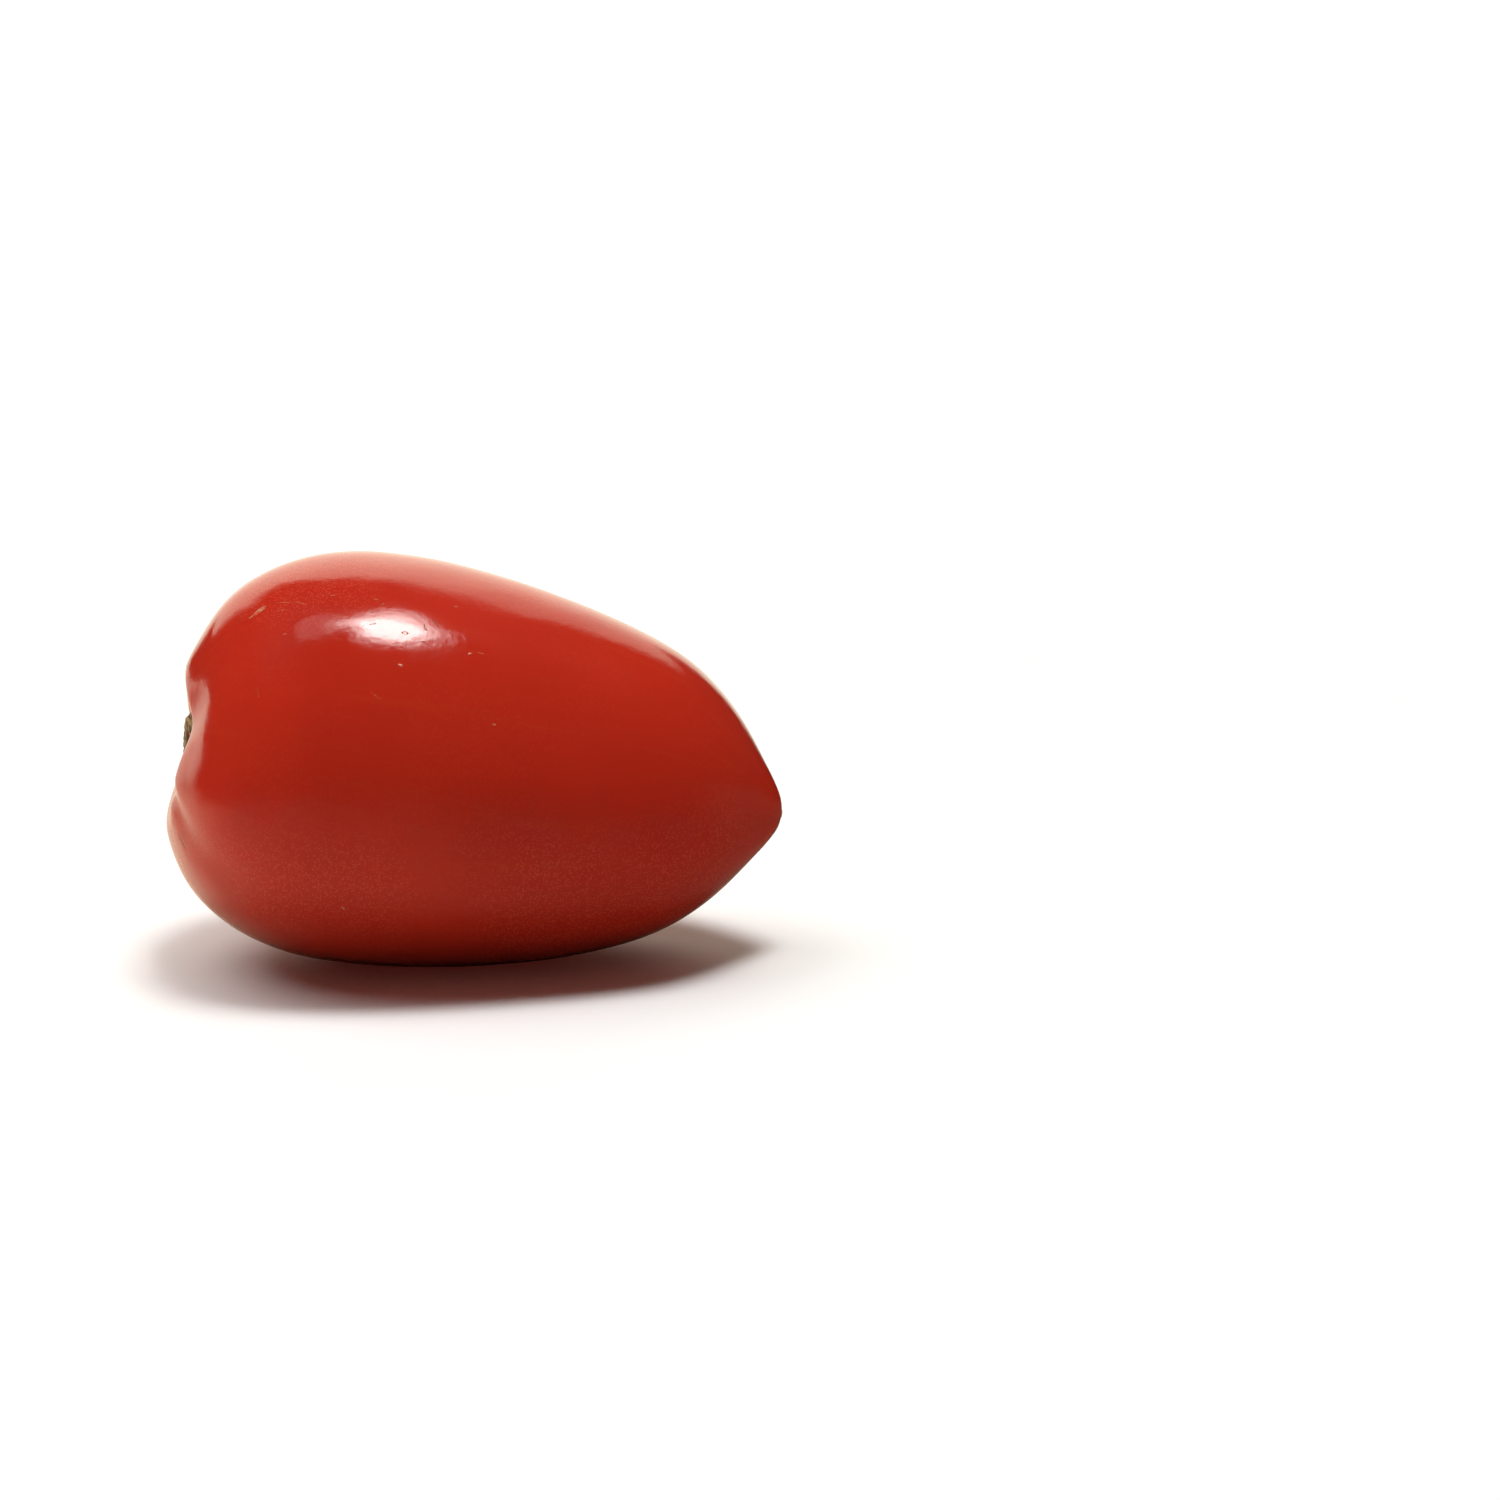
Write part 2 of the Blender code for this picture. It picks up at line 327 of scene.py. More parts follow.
class TomatoColours(PropertyGroup):
    """The colours of the skin and of the cork"""

    ripe_red: FloatVectorProperty(
        name="Ripe red", description="The skin", default=(0.58, 0.027, 0.011, 1.0), size=4, subtype="COLOR"
    )
    deep_red: FloatVectorProperty(
        name="Deep red", description="Riper clouds", default=(0.53, 0.022, 0.01, 1.0), size=4, subtype="COLOR"
    )
    shoulder_orange: FloatVectorProperty(
        name="Shoulder orange",
        description="The skin beside the stem scar",
        default=(0.62, 0.16, 0.015, 1.0),
        size=4,
        subtype="COLOR",
    )
    # Partly the skin's own speckle and partly painted glints where the skin shows reflections
    speckle_and_glint_gold: FloatVectorProperty(
        name="Speckle gold",
        description="The finest specks in the skin",
        default=(0.95, 0.15, 0.08, 1.0),
        size=4,
        subtype="COLOR",
    )
    scuff_tan: FloatVectorProperty(
        name="Scuff tan", description="Scuffs", default=(0.62, 0.40, 0.20, 1.0), size=4, subtype="COLOR"
    )
    cork_khaki: FloatVectorProperty(
        name="Cork khaki", description="Dry cork", default=(0.52, 0.34, 0.15, 1.0), size=4, subtype="COLOR"
    )
    cork_brown: FloatVectorProperty(
        name="Cork brown", description="Old cork", default=(0.15, 0.062, 0.022, 1.0), size=4, subtype="COLOR"
    )
    cork_rim: FloatVectorProperty(
        name="Cork rim", description="A scar's edge", default=(0.38, 0.18, 0.07, 1.0), size=4, subtype="COLOR"
    )
    # Dark cork grain, and also the painted shade of the scars' pits
    cork_dark_and_pit_shade: FloatVectorProperty(
        name="Cork dark", description="Its pits", default=(0.015, 0.008, 0.005, 1.0), size=4, subtype="COLOR"
    )


class TomatoStudio(PropertyGroup):
    """The camera and the lights"""

    camera_distance: FloatProperty(
        name="Camera distance", description="From the fruit's plane", default=0.513, unit="LENGTH"
    )
    camera_height: FloatProperty(
        name="Camera height", description="Angle above the table", default=math.radians(12.0), subtype="ANGLE"
    )
    camera_turn: FloatProperty(
        name="Camera turn", description="Towards the stem end", default=math.radians(5.0), subtype="ANGLE"
    )
    lens: FloatProperty(name="Lens", description="Focal length in millimetres", default=100.0, min=20.0)
    aim_right: FloatProperty(
        name="Aim right", description="The camera's aim, right of the fruit", default=0.0339, unit="LENGTH"
    )
    aim_up: FloatProperty(
        name="Aim up", description="The camera's aim, above the fruit's middle", default=0.0005, unit="LENGTH"
    )
    overhead_height: FloatProperty(
        name="Overhead height", description="Height of the overhead light", default=0.80, unit="LENGTH"
    )
    overhead_light: FloatProperty(
        name="Overhead light", description="Brightness of the overhead light", default=1.0, min=0.0
    )
    fill_size: FloatProperty(
        name="Fill size", description="Width of each fill light", default=0.80, unit="LENGTH"
    )
    fill_light: FloatProperty(
        name="Fill light",
        description="Brightness of the fill lights, which have no reflection",
        default=1.0,
        min=0.0,
    )
    backdrop_light: FloatProperty(
        name="Backdrop light", description="Brightness of the backdrop", default=1.27, min=0.0
    )
    ceiling_light: FloatProperty(
        name="Ceiling light", description="Brightness of the ceiling behind the fruit", default=0.06, min=0.0
    )
    room_light: FloatProperty(
        name="Room light", description="Brightness of the rest of the room", default=0.02, min=0.0
    )
    bounced_light: FloatProperty(
        name="Bounced light",
        description="Brightness that reaches the fruit and table from all round",
        default=0.03,
        min=0.0,
    )
    table_size: FloatProperty(name="Table size", description="Side of the table", default=12.0, unit="LENGTH")


class SmoothCurve:
    """A curve through given points in the plane with no sudden change of direction or of bend."""

    def __init__(self, points):
        self.points = np.array(points, float)
        steps = np.linalg.norm(np.diff(self.points, axis=0), axis=1)
        self.knots = np.concatenate([[0.0], np.cumsum(steps)])
        self.bends = self._bends(steps)

    @property
    def length(self):
        """How long the whole curve is."""
        return self.knots[-1]

    def _bends(self, steps):
        """Second derivatives at the points of the natural cubic spline."""
        count = len(self.points)
        system = np.eye(count)
        wanted = np.zeros((count, 2))
        slopes = np.diff(self.points, axis=0) / steps[:, None]
        for i in range(1, count - 1):
            system[i, i - 1 : i + 2] = steps[i - 1], 2 * (steps[i - 1] + steps[i]), steps[i]
            wanted[i] = 6 * (slopes[i] - slopes[i - 1])
        return np.linalg.solve(system, wanted)

    def at(self, distance):
        """Points at these distances along the curve."""
        distance = np.asarray(distance, float)
        right = np.clip(np.searchsorted(self.knots, distance), 1, len(self.knots) - 1)
        left = right - 1
        step = (self.knots[right] - self.knots[left])[..., None]
        after = (distance - self.knots[left])[..., None] / step
        before = 1 - after
        straight = before * self.points[left] + after * self.points[right]
        bow = (before**3 - before) * self.bends[left] + (after**3 - after) * self.bends[right]
        return straight + bow * step**2 / 6

    def outward(self, distance, nudge=1e-5):
        """Unit normals at these distances, pointing out of the fruit."""
        ahead = self.at(np.minimum(distance + nudge, self.length))
        behind = self.at(np.maximum(distance - nudge, 0.0))
        run = ahead - behind
        normal = np.stack([-run[..., 1], run[..., 0]], axis=-1)
        return normal / np.linalg.norm(normal, axis=-1, keepdims=True)


def smooth_step(value, low, high):
    """0 below low, 1 above high, and an even rise between."""
    share = np.clip((value - low) / (high - low), 0.0, 1.0)
    return share * share * (3 - 2 * share)


def bell(value, spread):
    """1 where value is 0, falling evenly on both sides over the spread."""
    return np.exp(-((value / spread) ** 2))


def turn_from(angle, centre):
    """The signed turn from centre to angle, in degrees, between -180 and 180."""
    return (angle - centre + 180.0) % 360.0 - 180.0


def waves(angle, table):
    """The sum of some waves round the axis, each with its number of crests, height and crest's angle."""
    return sum(height * np.cos(np.radians(count * (angle - crest))) for count, height, crest in table)


def lobe_swell(distance, angle):
    """How far the shoulder's lobes push the skin out."""
    swell = np.zeros_like(distance)
    for crest_angle, crest_distance, height, width in LOBES:
        spread = np.where(distance < crest_distance, LOBE_INNER_SPREAD, LOBE_OUTER_SPREAD)
        swell += height * bell(distance - crest_distance, spread) * bell(turn_from(angle, crest_angle), width)
    return swell


def crease_depth(distance, angle):
    """How far the creases between the lobes draw the skin in."""
    start = smooth_step(distance, CREASE_START, CREASE_FULL)
    depth = np.zeros_like(distance)
    past = np.maximum(distance - CREASE_FULL, 0.0)
    for crease_angle, lean, reach, deepest, width in CREASES:
        aside = turn_from(angle, crease_angle + lean * past)
        depth += deepest * start * bell(past, reach) * bell(aside, width)
    return depth


class FruitShape:
    """The skin as a formula: where each distance along it and angle round it lies in the packed frame."""

    def __init__(self, sizes):
        self.sizes = sizes
        profile = [(sizes.fruit_length * along, sizes.fruit_radius * out) for along, out in MERIDIAN]
        self.meridian = SmoothCurve(profile)
        sample = np.meshgrid(np.linspace(0, self.meridian.length, BOX_RINGS), np.arange(0, 360, BOX_STEP))
        tilted = self.tilted(*(axis.ravel() for axis in sample))
        low, high = tilted.min(axis=0), tilted.max(axis=0)
        middle = (low + high) / 2
        self.shift = -np.array([middle[0], middle[1], low[2] + sizes.flat_depth])

    def scar_outline(self, angle):
        """The stem scar's radius at these angles."""
        return self.sizes.scar_radius * (1 + waves(angle, SCAR_WAVES))

    def scar_relief(self, distance, angle):
        """Height of the stem scar and its moat above the skin."""
        place = distance / self.scar_outline(angle)
        plateau = self.sizes.scar_rise * (1 - smooth_step(place, 1 - SCAR_RIM, 1 + SCAR_RIM))
        pit = self.sizes.scar_pit_depth * bell(place, SCAR_PIT_SPREAD)
        moat = self.sizes.moat_depth * bell(place - MOAT_PLACE, MOAT_SPREAD)
        lean = SCAR_SEAT + SCAR_TILT * distance * np.cos(np.radians(angle - SCAR_TILT_ANGLE))
        lean = lean * (1 - smooth_step(distance, *SCAR_TILT_REACH))
        return plateau - pit - moat - lean

    def tilted(self, distance, angle, extra_lift=0.0):
        """Points of the skin with the fruit's axis tilted, but not yet moved to its place on the table."""
        lift = lobe_swell(distance, angle) - crease_depth(distance, angle)
        lift = lift + self.scar_relief(distance, angle) + extra_lift
        along, out = (self.meridian.at(distance) + lift[:, None] * self.meridian.outward(distance)).T
        out = out * (1 + waves(angle, SECTION_WAVES))
        from_middle = 2 * np.clip(along / self.sizes.fruit_length, 0.0, 1.0) - 1
        turn = np.radians(angle)
        up = out * np.sin(turn) + self.sizes.axis_bow * (1 - from_middle**BOW_POWER)
        fall = self.sizes.axis_fall
        x = along * math.cos(fall) + up * math.sin(fall)
        z = up * math.cos(fall) - along * math.sin(fall)
        return np.column_stack([x, -out * np.cos(turn), z])

    def points(self, distance, angle, extra_lift=0.0):
        """Points of the skin where the fruit lies, pressed flat against the table."""
        placed = self.tilted(distance, angle, extra_lift) + self.shift
        placed[:, 2] = np.maximum(placed[:, 2], 0.0)
        return placed


def polar_grid(rings, segments):
    """Every ring's value at every angle, as two flat arrays: the rings' values and the angles."""
    angles = np.arange(segments) * 360.0 / segments
    ring_values, ring_angles = np.meshgrid(rings, angles, indexing="ij")
    return ring_values.ravel(), ring_angles.ravel()


def polar_mesh(name, first, rings, last, segments):
    """A closed smooth mesh: a first point, ring after ring round it, and a last point."""
    ring_count = len(rings) // segments
    here = np.arange(segments)
    beside = (here + 1) % segments
    last_ring = 1 + (ring_count - 1) * segments
    faces = np.column_stack([np.zeros(segments, int), 1 + here, 1 + beside]).tolist()
    for start in range(1, last_ring, segments):
        corners = [start + here, start + segments + here, start + segments + beside, start + beside]
        faces += np.column_stack(corners).tolist()
    tip = np.full(segments, last_ring + segments)
    faces += np.column_stack([tip, last_ring + beside, last_ring + here]).tolist()
    mesh = bpy.data.meshes.new(name)
    mesh.from_pydata(np.vstack([first, rings, last]).tolist(), [], faces)
    mesh.shade_smooth()
    return mesh


def keep_place(mesh, distance, angle):
    """Stores each vertex's place on the skin, which the materials read."""
    turn = np.radians(angle)
    values = np.column_stack([np.cos(turn), np.sin(turn), distance])
    attribute = mesh.attributes.new(PLACE, "FLOAT_VECTOR", "POINT")
    attribute.data.foreach_set("vector", values.ravel())


def link_piece(name, mesh, material):
    """An object with this mesh and material that rides with the fruit."""
    mesh.materials.append(material)
    piece = bpy.data.objects.new(name, mesh)
    bpy.context.scene.collection.objects.link(piece)
    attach(piece, BODY)
    return piece


def soft_swells(points, height):
    """The soft unevenness that a grown skin has: a sum of gentle waves that run every way."""
    drawn = np.random.default_rng(SWELL_SEED)
    total = np.zeros(len(points))
    for wavelength, share in SWELLS:
        for _ in range(WAVES_PER_SWELL):
            heading = drawn.normal(size=3)
            heading *= math.tau / wavelength / np.linalg.norm(heading)
            total += share * np.cos(points @ heading + drawn.uniform(0, math.tau))
    return height * total / 2


def skin_rings(length):
    """Distances along the skin of its rings, which lie between the scar's centre and the tip."""
    fine = np.linspace(0.0, length, RING_COUNTING_STEPS)
    rings_per_metre = 1 / np.interp(fine, RING_PLACES, RING_SPACING)
    counted = np.concatenate([[0.0], np.cumsum(rings_per_metre[1:] * np.diff(fine))])
    return np.interp(np.linspace(0.0, counted[-1], round(counted[-1]) + 1), counted, fine)[1:-1]


def make_skin_mesh(shape):
    """The fine skin, with its soft swells."""
    segments = shape.sizes.segments
    distance, angle = polar_grid(skin_rings(shape.meridian.length), segments)
    distance = np.concatenate([[0.0], distance, [shape.meridian.length]])
    angle = np.concatenate([[0.0], angle, [0.0]])
    swells = soft_swells(shape.points(distance, angle), shape.sizes.unevenness)
    points = shape.points(distance, angle, swells)
    mesh = polar_mesh("tomato_skin", points[:1], points[1:-1], points[-1:], segments)
    keep_place(mesh, distance, angle)
    return mesh


class Wiring:
    """Adds nodes to a tree, with each input given as a number, a colour or another node's output."""

    def __init__(self, tree):
        self.tree = tree
        self.tree.nodes.clear()

    def add(self, kind, inputs=(), **settings):
        """A shader node of this kind. inputs is a dictionary, by name or by number."""
        node = self.tree.nodes.new("ShaderNode" + kind)
        for name, value in settings.items():
            setattr(node, name, value)
        for key, value in dict(inputs).items():
            self.put(node.inputs[key], value)
        return node

    def put(self, socket, value):
        """Links value to the socket, or sets it there."""
        if isinstance(value, bpy.types.NodeSocket):
            self.tree.links.new(value, socket)
        else:
            socket.default_value = value

    def math(self, operation, first, second=0.0):
        """The result of a sum on one or two values."""
        return self.add("Math", {0: first, 1: second}, operation=operation).outputs[0]

    def product(self, first, *others):
        """All the given values multiplied together."""
        for other in others:
            first = self.math("MULTIPLY", first, other)
        return first

    def between(self, value, low, high, to_low=0.0, to_high=1.0):
        """value, brought smoothly from the range low to high into the range to_low to to_high."""
        inputs = {"Value": value, 1: low, 2: high, 3: to_low, 4: to_high}
        return self.add("MapRange", inputs, interpolation_type="SMOOTHSTEP").outputs[0]

    def mix(self, share, first, second, blend="MIX"):
        """The first colour, with this share of the second laid over it."""
        node = self.add("Mix", data_type="RGBA", blend_type=blend)
        self.put(node.inputs[0], share)
        self.put(node.inputs[6], first)
        self.put(node.inputs[7], second)
        return node.outputs[2]

    def noise(self, vector, scale, detail=2.0, roughness=0.5):
        """Random clouds, with values round a half."""
        inputs = {"Vector": vector, "Scale": scale, "Detail": detail, "Roughness": roughness}
        return self.add("TexNoise", inputs).outputs["Fac"]

    def specks(self, vector, scale, size, kept):
        """1 inside small round specks, in this share of the cells of a random net."""
        cells = self.add("TexVoronoi", {"Vector": vector, "Scale": scale})
        inside = self.between(cells.outputs["Distance"], size, size * 0.5)
        lottery = self.add("SeparateColor", {0: cells.outputs["Color"]}).outputs[0]
        chosen = self.math("LESS_THAN", lottery, kept)
        return self.math("MULTIPLY", inside, chosen)

    def stretched(self, vector, scale):
        """The vector with its three parts scaled."""
        return self.add("VectorMath", {0: vector, 1: scale}, operation="MULTIPLY").outputs[0]

    def dot(self, vector, axis):
        """The vector's reach along the axis."""
        node = self.add("VectorMath", {0: vector, 1: axis}, operation="DOT_PRODUCT")
        return node.outputs["Value"]

    def length(self, vector):
        """The vector's length."""
        return self.add("VectorMath", {0: vector}, operation="LENGTH").outputs["Value"]

    def streak(self, place, radius, first, second, half_width):
        """1 inside a narrow streak with soft edges. Each of its ends is a distance along the skin and an
        angle, and radius is the fruit's own, there."""
        distance, angle = (first[0] + second[0]) / 2, math.radians((first[1] + second[1]) / 2)
        run, rise = second[0] - first[0], radius * math.radians(second[1] - first[1])
        heading = math.atan2(rise, run)
        half_length = math.hypot(run, rise) / 2 + half_width
        round_it = Vector((-math.sin(angle), math.cos(angle), 0.0)) * radius
        lengthwise = (round_it * math.sin(heading) + Vector((0.0, 0.0, math.cos(heading)))) / half_length
        crosswise = (round_it * math.cos(heading) - Vector((0.0, 0.0, math.sin(heading)))) / half_width
        along = self.math("SUBTRACT", self.dot(place, lengthwise), distance * lengthwise.z)
        across = self.math("SUBTRACT", self.dot(place, crosswise), distance * crosswise.z)
        size = self.math("ADD", self.product(along, along), self.product(across, across))
        this_side = self.dot(place, (math.cos(angle), math.sin(angle), 0.0))
        return self.product(self.between(size, 1.0, 0.3), self.math("GREATER_THAN", this_side, 0.0))

    def streaks(self, place, shape, table):
        """All the streaks of a table that gives the ends, half width and strength of each."""
        total = 0.0
        for first_distance, first_angle, second_distance, second_angle, half_width, strength in table:
            radius = float(shape.meridian.at(first_distance)[1])
            first, second = (first_distance, first_angle), (second_distance, second_angle)
            one = self.streak(place, radius, first, second, half_width)
            total = self.math("MAXIMUM", total, self.product(one, strength))
        return total


def new_material(name):
    """An empty material and the wiring of its tree."""
    material = bpy.data.materials.new(name)
    material.use_nodes = True
    return material, Wiring(material.node_tree)


def finish_material(wiring, shader):
    """Joins the shader to the material's output."""
    wiring.add("OutputMaterial", {"Surface": shader.outputs[0]})


def place_on_skin(wiring):
    """The stored place: its whole vector and its distance from the scar's centre."""
    place = wiring.add("Attribute", attribute_name=PLACE).outputs["Vector"]
    distance = wiring.add("SeparateXYZ", {0: place}).outputs["Z"]
    return place, distance


def skin_colour(wiring, colours, spot, place, distance):
    """Ripe red with riper clouds, faint streaks from stem to tip, and orange beside the stem scar."""
    clouds = wiring.between(wiring.noise(spot, 38.0, 3.0), 0.35, 0.68)
    colour = wiring.mix(clouds, colours.ripe_red, colours.deep_red)
    streaks = wiring.noise(wiring.stretched(place, (9.0, 9.0, 25.0)), 1.6, 4.0, 0.6)
    streaked = wiring.between(streaks, 0.50, 0.80, 0.0, 0.05)
    colour = wiring.mix(streaked, colour, colours.shoulder_orange)
    flush = wiring.between(distance, *FLUSH_REACH)
    ragged = wiring.between(wiring.noise(spot, 420.0, 3.0), 0.25, 0.70, 0.35, 1.0)
    return wiring.mix(wiring.product(flush, ragged), colour, colours.shoulder_orange)


def speckled_and_glinting(wiring, colours, spot, colour):
    """The colour with fine golden speckles and a few pale flecks. The speckles are partly the skin's own and
    partly painted glints, densest low down and near the top, where the skin shows reflections.
    """
    height_on_fruit = wiring.add("SeparateXYZ", {0: spot}).outputs["Z"]
    # painted glints: the speckles grow dense low down and near the top, where the skin shows reflections
    low = wiring.between(height_on_fruit, *SPECKLE_AND_GLINT_LOW)
    high = wiring.between(height_on_fruit, *SPECKLE_AND_GLINT_HIGH)
    patches = wiring.between(wiring.noise(spot, 60.0, 2.0), 0.40, 0.62, 0.15, 1.0)
    dense = wiring.between(wiring.math("ADD", low, high), 0.0, 1.0, 0.25, 1.0)
    fine = wiring.specks(spot, SPECKLE_SCALE, 0.55, 0.60)
    colour = wiring.mix(wiring.product(fine, patches, dense, 0.24), colour, colours.speckle_and_glint_gold)
    flecks = wiring.specks(spot, FLECK_SCALE, 0.05, 0.04)
    return wiring.mix(wiring.product(flecks, 0.5), colour, colours.scuff_tan)


def marked(wiring, colours, spot, colour, scuffs, pinpricks):
    """The colour with the ragged tan of the scuffs and a brown in the pinpricks, which is partly the healed
    split's own colour and partly painted shade in the pits.
    """
    ragged = wiring.between(wiring.noise(spot, 2400.0, 2.0), 0.35, 0.60, 0.25, 1.0)
    colour = wiring.mix(wiring.product(scuffs, ragged), colour, colours.scuff_tan)
    # partly painted shade: the pits in the highlight are darkened brown, and the healed split has its own
    # brown
    return wiring.mix(wiring.product(pinpricks, 0.5), colour, colours.cork_brown)


def skin_relief(wiring, spot, scuffs, pinpricks):
    """The fine bump of the skin, raised at the scuffs and sunk at the pinpricks."""
    grain = wiring.noise(spot, 1300.0, 2.0)
    swells = wiring.noise(spot, 260.0, 2.0)
    height = wiring.math("ADD", wiring.product(grain, 0.35), swells)
    height = wiring.math("ADD", height, wiring.product(scuffs, 0.5))
    height = wiring.math("SUBTRACT", height, wiring.product(pinpricks, 1.5))
    bump = wiring.add("Bump", {"Strength": 0.45, "Distance": SKIN_BUMP_HEIGHT, "Height": height})
    return bump.outputs[0]


def skin_material(colours, shape):
    """Thin, waxy tomato skin with fine golden speckles that are partly painted glints, a few healed scuffs,
    and some pinpricks that are partly darkened with painted shade.
    """
    material, wiring = new_material("waxy_tomato_skin")
    spot = wiring.add("TexCoord").outputs["Object"]
    place, distance = place_on_skin(wiring)
    scuffs = wiring.streaks(place, shape, SCUFFS)
    pinpricks = wiring.streaks(place, shape, PINPRICKS)
    colour = skin_colour(wiring, colours, spot, place, distance)
    colour = speckled_and_glinting(wiring, colours, spot, colour)
    colour = marked(wiring, colours, spot, colour, scuffs, pinpricks)
    roughness = wiring.between(wiring.noise(spot, 300.0, 4.0), 0.3, 0.7, 0.08, 0.14)
    inputs = {
        "Base Color": colour,
        "Roughness": roughness,
        "IOR": 1.45,
        "Subsurface Weight": 0.10,
        "Subsurface Radius": (1.0, 0.16, 0.08),
        "Subsurface Scale": 0.0025,
        "Normal": skin_relief(wiring, spot, scuffs, pinpricks),
    }
    finish_material(wiring, wiring.add("BsdfPrincipled", inputs))
    return material


def cork_material(colours):
    """Dry cork, mottled khaki and brown with dark grain, and with painted shade in its pits, darkest at the
    middle.
    """
    material, wiring = new_material("stem_cork")
    spot = wiring.add("TexCoord").outputs["Object"]
    _, share = place_on_skin(wiring)
    mottle = wiring.between(wiring.noise(spot, 1100.0, 4.0, 0.65), 0.38, 0.62)
    colour = wiring.mix(mottle, colours.cork_khaki, colours.cork_brown)
    grain = wiring.noise(spot, 3200.0, 3.0, 0.7)
    colour = wiring.mix(wiring.between(grain, 0.55, 0.75), colour, colours.cork_dark_and_pit_shade)
    # painted shade: the cork darkens towards its middle, where its pit lies in shade
    colour = wiring.mix(wiring.between(share, 0.60, 0.30), colour, colours.cork_dark_and_pit_shade)
    colour = wiring.mix(wiring.between(share, 0.82, 0.95, 0.0, 0.8), colour, colours.cork_rim)
    bump = wiring.add("Bump", {"Strength": 0.8, "Distance": CORK_BUMP_HEIGHT, "Height": grain})
    inputs = {"Base Color": colour, "Roughness": 0.85, "Normal": bump.outputs[0]}
    finish_material(wiring, wiring.add("BsdfPrincipled", inputs))
    return material


def cork_plate(name, shape, centre, outward_sign, radius_at, height_at, segments, depth):
    """A closed plate of cork that follows the skin round centre, a distance along it. Its share runs from 0
    in the middle to 1 at the rim, and its underside lies depth below the skin."""
    top_shares = np.linspace(0.0, 1.0, CORK_TOP_RINGS + 1)[1:]
    share, angle = polar_grid(np.concatenate([top_shares, CORK_UNDER_SHARES]), segments)
    is_top = np.arange(len(share)) < len(top_shares) * segments
    lift = np.where(is_top, height_at(share, angle), -depth)
    share = np.concatenate([[0.0], share, [0.0]])
    angle = np.concatenate([[0.0], angle, [0.0]])
    middle_height = height_at(np.zeros(1), np.zeros(1))
    lift = np.concatenate([middle_height, lift, [-depth]])
    distance = centre + outward_sign * share * radius_at(angle)
    points = shape.points(distance, angle, lift)
    if outward_sign < 0:
        points[1:-1] = points[1:-1].reshape(-1, segments, 3)[:, ::-1].reshape(-1, 3)
    mesh = polar_mesh(name, points[:1], points[1:-1], points[-1:], segments)
    keep_place(mesh, share, angle)
    return mesh


def drawn_waves(drawn, counts, lowest, highest):
    """Waves with these numbers of crests, each with a height and a crest's angle drawn at random."""
    return [(count, drawn.uniform(lowest, highest), drawn.uniform(0, 360)) for count in counts]


def make_stem_cork(shape):
    """The stem scar's cork: a ragged oval with a raised rim, fibres towards its middle and a sunken pit."""
    drawn = np.random.default_rng(CORK_SEED)
    ragged = drawn_waves(drawn, range(7, 38, 3), 0.004, 0.016)
    lumps = drawn_waves(drawn, (3, 5, 8, 13, 21), 0.2, 1.0)
    fibres = drawn_waves(drawn, (17, 26, 39), 0.4, 1.0)

    def radius_at(angle):
        return shape.scar_outline(angle) * (1 + waves(angle, ragged))

    def height_at(share, angle):
        rim = RIM_HEIGHT * bell(share - RIM_PLACE, RIM_SPREAD) * (1 + RIM_LUMPS * waves(angle, lumps))
        threads = FIBRE_HEIGHT * waves(angle + 40 * share, fibres) * smooth_step(share, 0.15, 0.45)
        ripple = np.cos(9 * share + 2 * np.radians(angle))
        floor = FLOOR_HEIGHT * ripple * smooth_step(share, 0.1, 0.3)
        edge = smooth_step(share, 1.02, 0.90)
        pit = CORK_PIT_DEPTH * bell(share, CORK_PIT_SPREAD)
        return (rim + threads + floor + CORK_LIFT) * edge - pit

    return cork_plate("stem_scar", shape, 0.0, 1, radius_at, height_at, *STEM_CORK)


def make_tip_cork(shape):
    """The dot of cork where the flower was, at the fruit's tip."""

    def radius_at(angle):
        return shape.sizes.tip_scar_radius * (1 + waves(angle, TIP_WAVES))

    def height_at(share, angle):
        bumps = 1 + 0.3 * np.cos(np.radians(5 * angle) + 7 * share)
        dent = TIP_DENT_DEPTH * bell(share, TIP_DENT_SPREAD)
        return TIP_BUMP_HEIGHT * bumps * smooth_step(share, 1.0, 0.6) - dent

    return cork_plate("tip_scar", shape, shape.meridian.length, -1, radius_at, height_at, *TIP_CORK)


class TOMATO_OT_skin(Operator):
    """Makes the fine skin that stands for the plain solid"""

    bl_idname = "tomato.skin"
    bl_label = "Skin"

    def execute(self, context):
        settings = context.scene
        shape = FruitShape(settings.tomato_sizes)
        material = skin_material(settings.tomato_colours, shape)
        skin = link_piece("tomato_skin", make_skin_mesh(shape), material)
        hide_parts(SOLID)
        return {"FINISHED"}


class TOMATO_OT_scars(Operator):
    """Makes the cork of the stem scar and of the tip"""

    bl_idname = "tomato.scars"
    bl_label = "Scars"

    def execute(self, context):
        settings = context.scene
        shape = FruitShape(settings.tomato_sizes)
        cork = cork_material(settings.tomato_colours)
        for name, mesh in (("stem_scar", make_stem_cork(shape)), ("tip_scar", make_tip_cork(shape))):
            link_piece(name, mesh, cork)
        return {"FINISHED"}


